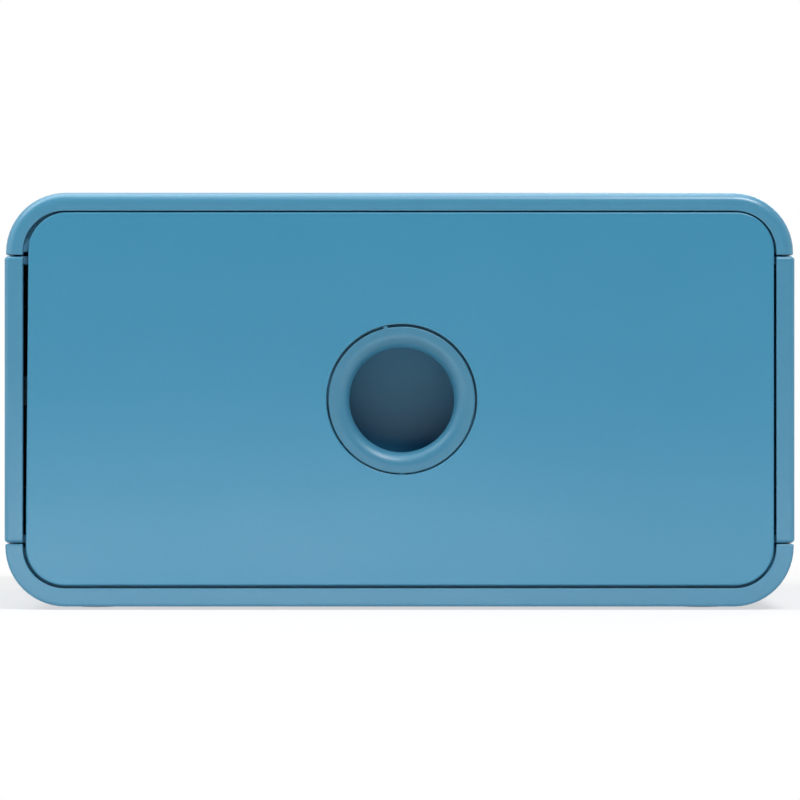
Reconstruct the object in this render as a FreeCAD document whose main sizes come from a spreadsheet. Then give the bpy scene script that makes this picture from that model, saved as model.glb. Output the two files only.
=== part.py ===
import FreeCAD, Part
import math
import os
import re
import Sketcher

# A desktop drawer unit of moulded plastic: a casing of two shells, two side panels and a back,
# and one drawer with a round finger pull that runs on side rails.
#
# Each piece is drawn in the casing's own corner frame: x = 0 in the middle, y = 0 on the casing's
# front face and running back, z = 0 on the underside of the base. The placement of a piece then
# puts the middle of the footprint, on the surface that the feet stand on, at the origin.

# Driving sizes, in millimetres and degrees.
sizes = {
    # Casing
    "casing_width": 250.0,  # over the two side panels
    "casing_depth": 190.0,
    "casing_height": 131.0,  # without the feet
    "corner_radius": 19.0,  # the four long outer corners
    "rim_width": 5.8,  # how wide the front rim is round the opening
    "rim_depth": 5.4,  # how far back the thick rim goes
    "shell_wall": 2.6,
    "panel_wall": 2.6,
    "shell_side_inset": 0.3,  # the side panels stand this proud of the shells
    "seam_straight": 0.75,  # upright part of a shell's side beyond its round corner
    "seam_gap": 0.4,  # open line between a shell's side and a side panel
    "top_edge_radius": 3.2,  # front edge of the top shell
    "base_edge_radius": 0.8,  # front edge of the bottom shell
    "panel_edge_radius": 1.7,  # front edge of a side panel
    "panel_end_radius": 1.2,  # outer edge of a side panel at the seams
    "shell_end_radius": 0.4,  # outer edge of a shell at the seams
    "rear_edge_radius": 0.8,
    "mouth_edge_radius": 0.25,  # inner front edge of the rim
    "stop_reach": 4.0,  # lip behind the drawer front, inwards from the opening
    "stop_lip_end": 1.0,  # the lip ends this far short of the seam
    # Joints between the shells and the side panels
    "panel_flange": 2.5,  # thickness of a side panel's end flange
    "ledge_thickness": 2.4,  # thickness of a shell's side ledge
    "ledge_front": 14.0,  # front end of the ledge, from the front face
    "joint_head_gap": 0.6,  # screw head clear of the side panel's wall
    "joint_screw_end": 32.0,  # screw axis from the casing's front and rear
    "boss_radius": 3.5,
    "boss_floor": 1.0,  # left under a boss's pilot hole
    "flange_margin": 0.7,  # flange beyond the boss
    # Stiffening ribs
    "rib_thickness": 1.6,
    "shell_rib_height": 3.0,
    "shell_rib_pitch": 40.0,
    "panel_rib_height": 2.4,
    "panel_rib_pitch": 31.0,  # between the back panel's ribs
    # Back panel
    "back_thickness": 2.5,
    "back_inset": 2.5,  # rear face of the back panel inside the casing's rear end
    "back_fit": 0.3,  # clearance round the back panel
    "back_rib_height": 2.5,
    "back_screw_place": 70.0,  # screw axis from the middle
    "back_boss_radius": 4.0,
    # Feet
    "foot_radius": 7.5,
    "foot_proud": 1.0,  # a foot stands this far below the base
    "foot_recess": 0.9,  # depth of the pocket that holds a foot
    "foot_fit": 0.2,
    "foot_edge_radius": 0.4,
    "foot_inset_side": 28.0,  # foot centre from the casing's side
    "foot_inset_end": 28.0,  # foot centre from the casing's front and rear
    # Runners
    "runner_pad": 2.4,  # raised pads on the side panel that carry the runner
    "runner_pad_radius": 4.5,
    "runner_web": 2.2,
    "runner_leg": 2.0,
    "runner_play": 0.7,  # between the runner's legs and the tray's side
    "runner_front": 14.0,  # front end of the runner, from the front face
    "runner_end_gap": 3.0,  # rear end of the runner to the back panel
    "runner_screw_end": 26.0,  # screw axis from either end of the runner
    "tooth_length": 3.0,  # stop tooth at the runner's front end
    "drawer_travel": 120.0,
    "travel_gap": 0.3,  # left between bump and tooth at full travel
    # Drawer tray
    "tray_wall": 2.0,
    "tray_floor": 2.2,
    "tray_corner_radius": 6.0,
    "tray_edge_radius": 3.0,  # lower outer edge
    "tray_inner_radius": 1.5,  # lower inner edge
    "tray_rim_radius": 0.6,
    "tray_floor_gap": 0.8,  # tray above the stop lip
    "tray_headroom": 8.0,  # tray below the upper stop lip
    "tray_rear_gap": 10.0,  # tray to the back panel
    "rail_level": 66.0,  # underside of the side rail above the base
    "rail_thickness": 2.6,
    "rail_reach": 7.7,
    "rail_play": 0.6,  # rail tip to the runner's web
    "rail_rest_gap": 0.3,  # rail above the runner's lower leg
    "rail_end_inset": 6.0,  # rail's front end behind the tray's front
    "bump_height": 2.0,
    "bump_length": 4.0,
    "bump_gap": 0.4,  # above the bump, and under the tooth
    # Drawer front
    "front_thickness": 3.0,
    "front_seat_gap": 0.2,  # drawer front to the stop lip when it is closed
    "front_gap_top": 0.5,
    "front_gap_bottom": 0.9,
    "front_gap_right": 0.8,
    "front_gap_left_high": 1.95,  # the left edge leans: wide gap at the top
    "front_gap_left_low": 0.9,
    "front_corner_gap": 1.0,
    "front_edge_radius": 0.5,
    "front_boss_radius": 3.75,
    "front_boss_inset_side": 45.0,  # boss from the casing's side
    "front_boss_inset_end": 28.0,  # boss from the casing's top and base
    "frame_height": 4.0,  # stiffening frame on the back of the drawer front
    "frame_margin": 0.8,  # frame clear of the flanges and of the stop lip
    "frame_rib_place": 55.0,
    # Finger pull
    "pull_offset": 0.7,  # pull to the right of the middle
    "pull_drop": 0.15,  # pull below mid-height
    "ring_radius": 23.2,
    "ring_gap": 0.65,  # between the ring and the hole in the drawer front
    "ring_drop": 0.22,  # the ring sits low in its hole
    "ring_edge_radius": 0.3,
    "ring_shoulder": 3.8,  # how far the shoulder behind the front stands out
    "ring_shoulder_thickness": 2.0,
    "finger_radius": 16.6,
    "mouth_radius": 4.4,  # round mouth of the finger hole
    "ring_land": 0.2,  # at least this much flat is left on the ring's face
    "key_width": 1.3,
    "key_gap": 0.06,
    "key_turn": 192.5,  # the upper key, counted round from the bottom
    "cup_radius": 21.0,
    "cup_wall": 1.8,
    "cup_depth": 24.0,  # cup's floor behind the front face
    "cup_floor_radius": 3.0,
    "cup_flange_radius": 32.5,
    "cup_flange_thickness": 2.0,
    "cup_ear_radius": 4.2,  # round each screw, out past the flange
    "cup_boss_radius": 3.4,
    "cup_boss_gap": 1.1,  # screw bosses clear of the ring's shoulder
    "cup_head_gap": 0.5,  # screw heads clear of the tray's front wall
    "cup_hole_gap": 1.2,  # round the cup, in the tray's front wall
    # Screws
    "screw_radius": 1.45,
    "screw_head_radius": 3.0,
    "screw_head_height": 2.0,
    "long_screw": 9.0,
    "short_screw": 6.5,
    "pilot_gap": 0.05,
    "passing_gap": 0.25,
    "pilot_end_gap": 0.5,  # pilot hole beyond the screw's tip
    "small_screw_radius": 1.15,
    "small_head_radius": 2.2,
    "small_head_height": 1.5,
    "small_screw": 5.0,
    "sunk_screw_radius": 1.2,
    "sunk_head_radius": 2.3,
    "sunk_screw": 5.6,
    "cross_width": 0.8,  # cross recess in a screw's head
    "cross_depth": 1.0,
    "cutter_extra": 1.0,  # how far a cut runs past the material
}

# Places worked out from the sizes. Each is a formula in the names above.
opening_half = "(casing_width / 2 - rim_width)"
shell_half = "(casing_width / 2 - shell_side_inset)"
shell_height = "(corner_radius + seam_straight)"
panel_low = f"({shell_height} + seam_gap)"
panel_high = f"(casing_height - {panel_low})"
panel_inner = "(casing_width / 2 - panel_wall)"
stop_low = "(rim_width + stop_reach)"
stop_plane = "(front_thickness + front_seat_gap)"
joint_x = f"({panel_inner} - joint_head_gap - screw_head_radius)"
joint_pilot = "(long_screw - panel_flange + pilot_end_gap)"
boss_height = f"({joint_pilot} + boss_floor)"
flange_edge = f"({joint_x} - boss_radius - flange_margin)"
joint_places = ("joint_screw_end", "(casing_depth - joint_screw_end)")
back_seat = "(casing_depth - back_inset - back_thickness)"
back_boss_z = "(shell_wall + back_boss_radius)"
back_pilot = "(long_screw - back_thickness + pilot_end_gap)"
back_boss_length = f"({back_pilot} + boss_floor)"
foot_x = "(casing_width / 2 - foot_inset_side)"
foot_places = {"front": "foot_inset_end", "back": "(casing_depth - foot_inset_end)"}

pad_face = f"({panel_inner} - runner_pad)"
web_face = f"({pad_face} - runner_web)"
rail_tip = f"({web_face} - rail_play)"
tray_half = f"({rail_tip} - rail_reach)"
leg_edge = f"({tray_half} + runner_play)"
rail_top = "(rail_level + rail_thickness)"
channel_low = "(rail_level - rail_rest_gap)"
channel_high = f"({rail_top} + bump_height + bump_gap)"
runner_low = f"({channel_low} - runner_leg)"
runner_high = f"({channel_high} + runner_leg)"
runner_middle = f"(({channel_low} + {channel_high}) / 2)"
runner_back = f"({back_seat} - runner_end_gap)"
runner_places = ("(runner_front + runner_screw_end)", f"({runner_back} - runner_screw_end)")
tooth_back = "(runner_front + tooth_length)"
bump_front = f"({tooth_back} + drawer_travel + travel_gap)"

ring_back = "(front_thickness + ring_shoulder_thickness)"
cup_flange_back = f"({ring_back} + cup_flange_thickness)"

tray_low = f"({stop_low} + tray_floor_gap)"
tray_high = f"(casing_height - {stop_low} - tray_headroom)"
tray_front = f"({cup_flange_back} + small_head_height + cup_head_gap)"
tray_inside = f"({tray_front} + tray_wall)"
tray_back = f"({back_seat} - tray_rear_gap)"

front_low = "(rim_width + front_gap_bottom)"
front_high = "(casing_height - rim_width - front_gap_top)"
front_right = f"({opening_half} - front_gap_right)"
front_corner = "(corner_radius - rim_width - front_corner_gap)"
front_boss_x = "(casing_width / 2 - front_boss_inset_side)"
front_boss_levels = ("front_boss_inset_end", "(casing_height - front_boss_inset_end)")
front_boss_length = f"({tray_front} - front_thickness)"
frame_half = f"(min({flange_edge}; {opening_half} - stop_reach) - frame_margin)"
frame_low = f"({stop_low} + frame_margin)"
frame_high = f"(casing_height - {frame_low})"
frame_corner = f"(corner_radius - {stop_low})"

ring_level = "(casing_height / 2 - pull_drop)"
hole_level = f"({ring_level} + ring_drop)"
hole_radius = "(ring_radius + ring_gap)"
ring_outer = "(ring_radius + ring_shoulder)"
mouth_round = "(min(mouth_radius; ring_radius - finger_radius - ring_edge_radius - ring_land))"
cup_outer = "(cup_radius + cup_wall)"
cup_screw_circle = f"({ring_outer} + cup_boss_gap + cup_boss_radius)"
cup_screw_turns = (45, 135, 225, 315)

document = FreeCAD.newDocument("DesktopDrawerUnit")
sheet = document.addObject("Spreadsheet::Sheet", "Sizes")
for row, (alias, size) in enumerate(sizes.items(), start=1):
    sheet.set(f"A{row}", alias)
    sheet.set(f"B{row}", str(size))
    sheet.setAlias(f"B{row}", alias)
document.recompute()

left_and_right = {"left": "-1", "right": "1"}
tiny = 1e-4


def bind(formula):
    """The formula with each size name read from the sheet."""
    return re.sub(
        r"[a-z][a-z_]+",
        lambda word: f"Sizes.{word.group()}" if word.group() in sizes else word.group(),
        formula,
    )


def measure(formula):
    """The formula's number as the sheet stands."""
    return float(sheet.evalExpression(bind(formula)))


# Bodies and sketches


def new_body(label):
    """An empty piece, placed from the casing's corner frame."""
    body = document.addObject("PartDesign::Body", label)
    body.Label = label
    body.setExpression("Placement.Base.y", bind("-casing_depth / 2"))
    body.setExpression("Placement.Base.z", bind("foot_proud"))
    return body


def new_sketch(body, role, name, offset):
    """A sketch on one of the body's origin planes, moved along the plane's normal."""
    sketch = body.newObject("Sketcher::SketchObject", name)
    plane = next(feature for feature in body.Origin.OriginFeatures if feature.Role == role)
    sketch.AttachmentSupport = [(plane, "")]
    sketch.MapMode = "FlatFace"
    sketch.setExpression("AttachmentOffset.Base.z", bind(offset))
    return sketch


def upright_sketch(body, name, y):
    """A sketch in x and z at the depth y. The plane's normal points to the front."""
    return new_sketch(body, "XZ_Plane", name, f"-({y})")


def flat_sketch(body, name, z):
    """A sketch in x and y at the height z."""
    return new_sketch(body, "XY_Plane", name, z)


def side_sketch(body, name, x):
    """A sketch in y and z at the distance x from the middle."""
    return new_sketch(body, "YZ_Plane", name, x)


def place_point(sketch, geometry, point, x, y):
    """Ties a point of the sketch to the formulas x and y."""
    for kind, formula in (("DistanceX", x), ("DistanceY", y)):
        constraint = Sketcher.Constraint(kind, -1, 1, geometry, point, measure(formula))
        index = sketch.addConstraint(constraint)
        sketch.setExpression(f"Constraints[{index}]", bind(formula))


def set_radius(sketch, geometry, radius):
    """Ties a circle's or an arc's radius to the formula."""
    index = sketch.addConstraint(Sketcher.Constraint("Radius", geometry, measure(radius)))
    sketch.setExpression(f"Constraints[{index}]", bind(radius))


def add_circle(sketch, x, y, radius):
    """A circle about the point (x, y)."""
    centre = FreeCAD.Vector(measure(x), measure(y), 0)
    circle = Part.Circle(centre, FreeCAD.Vector(0, 0, 1), measure(radius))
    geometry = sketch.addGeometry(circle, False)
    place_point(sketch, geometry, 3, x, y)
    set_radius(sketch, geometry, radius)


def corner_arc(before, corner, after, radius):
    """Where a rounded corner leaves its two sides, its arc, and whether it turns to the left."""
    towards_before = (before - corner).normalize()
    towards_after = (after - corner).normalize()
    half_angle = towards_before.getAngle(towards_after) / 2
    leave = corner + towards_before * (radius / math.tan(half_angle))
    arrive = corner + towards_after * (radius / math.tan(half_angle))
    bisector = (towards_before + towards_after).normalize()
    centre = corner + bisector * (radius / math.sin(half_angle))
    turns_left = towards_after.cross(towards_before).z > 0
    first, last = (leave, arrive) if turns_left else (arrive, leave)
    start = math.atan2(first.y - centre.y, first.x - centre.x)
    end = math.atan2(last.y - centre.y, last.x - centre.x)
    if end < start:
        end += 2 * math.pi
    circle = Part.Circle(centre, FreeCAD.Vector(0, 0, 1), radius)
    return leave, arrive, Part.ArcOfCircle(circle, start, end), turns_left


def add_outline(sketch, corners):
    """A closed outline through corners, each (x, y) or (x, y, radius) where it is rounded."""
    points = [FreeCAD.Vector(measure(corner[0]), measure(corner[1]), 0) for corner in corners]
    count = len(corners)
    starts = list(points)
    ends = [points[(index + 1) % count] for index in range(count)]
    arcs = {}
    for index, corner in enumerate(corners):
        if len(corner) == 3:
            before = points[index - 1]
            after = points[(index + 1) % count]
            leave, arrive, arc, turns_left = corner_arc(
                before, points[index], after, measure(corner[2])
            )
            ends[index - 1] = leave
            starts[index] = arrive
            arcs[index] = (arc, turns_left)
    lines = [
        sketch.addGeometry(Part.LineSegment(start, end), False)
        for start, end in zip(starts, ends)
    ]
    for index, corner in enumerate(corners):
        incoming, outgoing = lines[index - 1], lines[index]
        if index not in arcs:
            sketch.addConstraint(Sketcher.Constraint("Coincident", incoming, 2, outgoing, 1))
            place_point(sketch, outgoing, 1, corner[0], corner[1])
            continue
        arc, turns_left = arcs[index]
        curve = sketch.addGeometry(arc, False)
        near, far = (1, 2) if turns_left else (2, 1)
        sketch.addConstraint(Sketcher.Constraint("Tangent", incoming, 2, curve, near))
        sketch.addConstraint(Sketcher.Constraint("Tangent", curve, far, outgoing, 1))
        apex = sketch.addGeometry(Part.Point(points[index]), True)
        place_point(sketch, apex, 1, corner[0], corner[1])
        sketch.addConstraint(Sketcher.Constraint("PointOnObject", apex, 1, incoming))
        sketch.addConstraint(Sketcher.Constraint("PointOnObject", apex, 1, outgoing))
        set_radius(sketch, curve, corner[2])


def add_box(sketch, left, right, low, high):
    """A rectangle between two formulas each way."""
    add_outline(sketch, [(left, low), (right, low), (right, high), (left, high)])


def add_rounded_box(sketch, left, right, low, high, radius):
    """A rectangle with four round corners."""
    corners = [(left, low), (right, low), (right, high), (left, high)]
    add_outline(sketch, [(x, y, radius) for x, y in corners])


def add_trough(sketch, half, low, high, radius):
    """A rectangle with round lower corners, as wide on either side of the middle."""
    add_outline(
        sketch,
        [
            (f"-{half}", low, radius),
            (half, low, radius),
            (half, high),
            (f"-{half}", high),
        ],
    )


# Features


def extrude(body, kind, name, sketch, length, towards):
    """A Pad or Pocket of the sketch's outline, in the direction that towards names."""
    feature = body.newObject(f"PartDesign::{kind}", name)
    feature.Profile = sketch
    feature.setExpression("Length", bind(length))
    along_normal = towards in ("front", "up", "right")
    feature.Reversed = along_normal if kind == "Pocket" else not along_normal
    return feature


def revolve(body, name, sketch, axis):
    """The sketch's outline turned once about the sketch's own axis."""
    feature = body.newObject("PartDesign::Revolution", name)
    feature.Profile = sketch
    feature.ReferenceAxis = (sketch, [axis])
    feature.Angle = 360
    return feature


def finish_edges(body, kind, name, size, chosen):
    """A Fillet or Chamfer on each edge of the body so far whose bounding box is chosen."""
    document.recompute()
    base = body.Tip
    edges = [
        f"Edge{number}"
        for number, edge in enumerate(base.Shape.Edges, start=1)
        if chosen(edge.BoundBox)
    ]
    feature = body.newObject(f"PartDesign::{kind}", name)
    feature.Base = (base, edges)
    feature.setExpression("Radius" if kind == "Fillet" else "Size", bind(size))
    return feature


def in_plane(low, high, place):
    """Whether a bounding box's span lies in one plane."""
    return abs(low - place) < tiny and abs(high - place) < tiny


# Casing


def build_shell(label, edge_radius, holds_feet):
    """The top or the bottom of the casing, drawn as the bottom."""
    body = new_body(label)
    height = measure(shell_height)
    depth = measure("casing_depth")
    half = measure(shell_half)
    past_top = f"({shell_height} + cutter_extra)"

    outline = upright_sketch(body, "outer_outline", "0")
    add_trough(outline, shell_half, "0", shell_height, "corner_radius")
    extrude(body, "Pad", "outer_block", outline, "casing_depth", "back")
    finish_edges(
        body, "Fillet", "front_edge", edge_radius,
        lambda box: in_plane(box.YMin, box.YMax, 0) and box.ZMin < height - tiny,
    )
    finish_edges(
        body, "Fillet", "rear_edge", "rear_edge_radius",
        lambda box: in_plane(box.YMin, box.YMax, depth) and box.ZMin < height - tiny,
    )
    finish_edges(
        body, "Fillet", "seam_edge", "shell_end_radius",
        lambda box: in_plane(box.ZMin, box.ZMax, height) and max(box.XMax, -box.XMin) > half - tiny,
    )

    # The hollow behind the rim, then the rim's two steps: past the stop lip, and the opening.
    hollow = upright_sketch(body, "hollow_outline", "rim_depth")
    add_trough(
        hollow, f"({shell_half} - shell_wall)", "shell_wall", past_top,
        "(corner_radius - shell_wall)",
    )
    extrude(body, "Pocket", "hollow", hollow, "(casing_depth - rim_depth + cutter_extra)", "back")
    lip = upright_sketch(body, "lip_outline", stop_plane)
    add_trough(
        lip, f"({opening_half} - stop_reach)", stop_low, past_top,
        f"(corner_radius - {stop_low})",
    )
    extrude(body, "Pocket", "lip_opening", lip, "(rim_depth + cutter_extra)", "back")
    lip_end = upright_sketch(body, "lip_end_outline", stop_plane)
    add_box(
        lip_end, f"-{opening_half}", opening_half, f"({shell_height} - stop_lip_end)", past_top
    )
    extrude(body, "Pocket", "lip_end", lip_end, f"(rim_depth - {stop_plane})", "back")
    mouth = upright_sketch(body, "mouth_outline", "0")
    add_trough(mouth, opening_half, "rim_width", past_top, "(corner_radius - rim_width)")
    extrude(body, "Pocket", "mouth", mouth, stop_plane, "back")
    edge_of_mouth = measure(opening_half) + tiny
    foot_of_mouth = measure("rim_width") - tiny
    finish_edges(
        body, "Fillet", "mouth_edge", "mouth_edge_radius",
        lambda box: in_plane(box.YMin, box.YMax, 0)
        and max(box.XMax, -box.XMin) < edge_of_mouth
        and box.ZMin > foot_of_mouth,
    )

    # Side ledges, with a screw boss at each joint that stands proud by the width of the seam.
    ledges = flat_sketch(body, "ledge_outline", f"({shell_height} - ledge_thickness)")
    bosses = flat_sketch(body, "boss_outline", f"({panel_low} - {boss_height})")
    pilots = flat_sketch(body, "pilot_outline", panel_low)
    for side in left_and_right.values():
        add_box(
            ledges, f"{side} * {flange_edge}", f"{side} * ({shell_half} - shell_wall / 2)",
            "ledge_front", back_seat,
        )
        for place in joint_places:
            add_circle(bosses, f"{side} * {joint_x}", place, "boss_radius")
            add_circle(pilots, f"{side} * {joint_x}", place, "(screw_radius + pilot_gap)")
    extrude(body, "Pad", "ledges", ledges, "ledge_thickness", "up")
    extrude(body, "Pad", "joint_bosses", bosses, boss_height, "up")
    extrude(body, "Pocket", "joint_pilots", pilots, joint_pilot, "down")

    # Long ribs on the inside of the flat wall.
    ribs = flat_sketch(body, "rib_outline", "(shell_wall / 2)")
    for step in (-2, -1, 0, 1, 2):
        add_box(
            ribs, f"({step} * shell_rib_pitch - rib_thickness / 2)",
            f"({step} * shell_rib_pitch + rib_thickness / 2)", "(rim_depth / 2)", back_seat,
        )
    extrude(body, "Pad", "ribs", ribs, "(shell_wall / 2 + shell_rib_height)", "up")

    # Two bosses that take the back panel's screws.
    rear_bosses = upright_sketch(body, "rear_boss_outline", f"({back_seat} - {back_boss_length})")
    rear_webs = upright_sketch(body, "rear_web_outline", f"({back_seat} - {back_boss_length})")
    rear_pilots = upright_sketch(body, "rear_pilot_outline", back_seat)
    for side in left_and_right.values():
        middle = f"{side} * back_screw_place"
        add_circle(rear_bosses, middle, back_boss_z, "back_boss_radius")
        add_box(
            rear_webs, f"({middle} - back_boss_radius)", f"({middle} + back_boss_radius)",
            "(shell_wall / 2)", back_boss_z,
        )
        add_circle(rear_pilots, middle, back_boss_z, "(screw_radius + pilot_gap)")
    extrude(body, "Pad", "rear_bosses", rear_bosses, back_boss_length, "back")
    extrude(body, "Pad", "rear_webs", rear_webs, back_boss_length, "back")
    extrude(body, "Pocket", "rear_pilots", rear_pilots, back_pilot, "front")

    if holds_feet:
        recesses = flat_sketch(body, "foot_recess_outline", "0")
        for side in left_and_right.values():
            for place in foot_places.values():
                add_circle(recesses, f"{side} * {foot_x}", place, "(foot_radius + foot_fit)")
        extrude(body, "Pocket", "foot_recesses", recesses, "foot_recess", "up")
    return body


def turn_over(body):
    """Puts a piece drawn as the bottom at the top of the casing."""
    body.Placement.Rotation = FreeCAD.Rotation(FreeCAD.Vector(0, 1, 0), 180)
    body.setExpression("Placement.Base.z", bind("foot_proud + casing_height"))


def build_side_panel(label, side):
    """A flat side of the casing, with the rim in front and a flange at either end."""
    body = new_body(label)
    outer = measure("casing_width / 2")
    ends = (measure(panel_low), measure(panel_high))
    depth = measure("casing_depth")
    length = f"({panel_high} - {panel_low})"

    section = flat_sketch(body, "wall_section", panel_low)
    add_outline(
        section,
        [
            (f"{side} * {opening_half}", "0"),
            (f"{side} * casing_width / 2", "0"),
            (f"{side} * casing_width / 2", "casing_depth"),
            (f"{side} * {panel_inner}", "casing_depth"),
            (f"{side} * {panel_inner}", "rim_depth"),
            (f"{side} * {opening_half}", "rim_depth"),
        ],
    )
    extrude(body, "Pad", "wall_and_rim", section, length, "up")
    finish_edges(
        body, "Fillet", "front_edge", "panel_edge_radius",
        lambda box: in_plane(box.YMin, box.YMax, 0)
        and max(box.XMax, -box.XMin) > outer - tiny
        and box.ZLength > 1,
    )
    finish_edges(
        body, "Fillet", "rear_edge", "rear_edge_radius",
        lambda box: in_plane(box.YMin, box.YMax, depth)
        and max(box.XMax, -box.XMin) > outer - tiny
        and box.ZLength > 1,
    )
    finish_edges(
        body, "Fillet", "end_edges", "panel_end_radius",
        lambda box: any(in_plane(box.ZMin, box.ZMax, end) for end in ends)
        and max(box.XMax, -box.XMin) > outer - tiny,
    )
    edge_of_mouth = measure(opening_half) + tiny
    finish_edges(
        body, "Fillet", "mouth_edge", "mouth_edge_radius",
        lambda box: in_plane(box.YMin, box.YMax, 0)
        and max(box.XMax, -box.XMin) < edge_of_mouth
        and box.ZLength > 1,
    )

    flanges = upright_sketch(body, "flange_outline", stop_plane)
    ribs = upright_sketch(body, "rib_outline", "(rim_depth / 2)")
    inside_wall = f"{side} * (casing_width / 2 - panel_wall / 2)"
    for low in (panel_low, f"({panel_high} - panel_flange)"):
        add_box(
            flanges, f"{side} * {flange_edge}", inside_wall, low, f"({low} + panel_flange)"
        )
    # Two ribs, evenly spaced, in each of the spaces between the runner and the end flanges.
    spaces = (
        (f"({panel_low} + panel_flange)", runner_low),
        (runner_high, f"({panel_high} - panel_flange)"),
    )
    for low, high in spaces:
        for share in ("1 / 3", "2 / 3"):
            level = f"({low} + ({high} - {low}) * {share})"
            add_box(
                ribs, f"{side} * ({panel_inner} - panel_rib_height)", inside_wall,
                f"({level} - rib_thickness / 2)", f"({level} + rib_thickness / 2)",
            )
    extrude(body, "Pad", "end_flanges", flanges, f"({back_seat} - {stop_plane})", "back")
    extrude(body, "Pad", "ribs", ribs, f"({back_seat} - rim_depth / 2)", "back")

    passing = flat_sketch(body, "passing_outline", panel_high)
    for place in joint_places:
        add_circle(passing, f"{side} * {joint_x}", place, "(screw_radius + passing_gap)")
    extrude(body, "Pocket", "passing_holes", passing, length, "down")

    inwards, outwards = ("left", "right") if side == "1" else ("right", "left")
    pads = side_sketch(body, "pad_outline", f"{side} * ({panel_inner} + panel_wall / 2)")
    pilots = side_sketch(body, "pad_pilot_outline", f"{side} * {pad_face}")
    for place in runner_places:
        add_circle(pads, place, runner_middle, "runner_pad_radius")
        add_circle(pilots, place, runner_middle, "(sunk_screw_radius + pilot_gap)")
    extrude(body, "Pad", "runner_pads", pads, "(runner_pad + panel_wall / 2)", inwards)
    extrude(
        body, "Pocket", "pad_pilots", pilots, "(sunk_screw - runner_web + pilot_end_gap)", outwards
    )
    return body


def build_back_panel():
    """A plate let into the rear of the casing, stiffened on the inside."""
    body = new_body("back_panel")
    half = f"({shell_half} - shell_wall - back_fit)"
    low = "(shell_wall + back_fit)"
    high = f"(casing_height - {low})"

    outline = upright_sketch(body, "outline", back_seat)
    add_rounded_box(outline, f"-{half}", half, low, high, "(corner_radius - shell_wall - back_fit)")
    extrude(body, "Pad", "plate", outline, "back_thickness", "back")

    ribs = upright_sketch(body, "rib_outline", f"({back_seat} - back_rib_height)")
    for step in (-1, 0, 1):
        level = f"(casing_height / 2 + {step} * panel_rib_pitch)"
        add_box(
            ribs, f"-({leg_edge})", leg_edge,
            f"({level} - rib_thickness / 2)", f"({level} + rib_thickness / 2)",
        )
    extrude(body, "Pad", "ribs", ribs, "(back_rib_height + back_thickness / 2)", "back")

    holes = upright_sketch(body, "hole_outline", back_seat)
    for side in left_and_right.values():
        for level in (back_boss_z, f"(casing_height - {back_boss_z})"):
            add_circle(
                holes, f"{side} * back_screw_place", level, "(screw_radius + passing_gap)"
            )
    extrude(body, "Pocket", "screw_holes", holes, "back_thickness", "back")
    return body


def build_foot(label, side, place):
    """A thin round pad, half let into the base."""
    body = new_body(label)
    outline = flat_sketch(body, "outline", "-foot_proud")
    add_circle(outline, f"{side} * {foot_x}", place, "foot_radius")
    extrude(body, "Pad", "pad", outline, "(foot_proud + foot_recess)", "up")
    underside = -measure("foot_proud")
    finish_edges(
        body, "Fillet", "lower_edge", "foot_edge_radius",
        lambda box: in_plane(box.ZMin, box.ZMax, underside),
    )
    return body


def build_runner(label, side):
    """A channel that carries one of the tray's rails, with a stop tooth at its front end."""
    body = new_body(label)
    length = f"({runner_back} - runner_front)"

    section = upright_sketch(body, "section", "runner_front")
    add_outline(
        section,
        [
            (f"{side} * {leg_edge}", runner_low),
            (f"{side} * {pad_face}", runner_low),
            (f"{side} * {pad_face}", runner_high),
            (f"{side} * {leg_edge}", runner_high),
            (f"{side} * {leg_edge}", channel_high),
            (f"{side} * {web_face}", channel_high),
            (f"{side} * {web_face}", channel_low),
            (f"{side} * {leg_edge}", channel_low),
        ],
    )
    extrude(body, "Pad", "channel", section, length, "back")

    tooth = upright_sketch(body, "tooth_outline", "runner_front")
    add_box(
        tooth, f"{side} * {leg_edge}", f"{side} * ({web_face} + runner_web / 2)",
        f"({rail_top} + bump_gap)", f"({channel_high} + runner_leg / 2)",
    )
    extrude(body, "Pad", "stop_tooth", tooth, "tooth_length", "back")

    inwards = "left" if side == "1" else "right"
    holes = side_sketch(body, "hole_outline", f"{side} * {pad_face}")
    for place in runner_places:
        add_circle(holes, place, runner_middle, "(sunk_screw_radius + passing_gap)")
    extrude(body, "Pocket", "screw_holes", holes, "runner_web", inwards)
    face = measure(f"{side} * {web_face}")
    hole_width = 2 * measure("(sunk_screw_radius + passing_gap)")
    finish_edges(
        body, "Chamfer", "countersinks",
        "(sunk_head_radius + pilot_gap - sunk_screw_radius - passing_gap)",
        lambda box: in_plane(box.XMin, box.XMax, face) and abs(box.YLength - hole_width) < tiny,
    )
    return body


# Drawer


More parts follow.
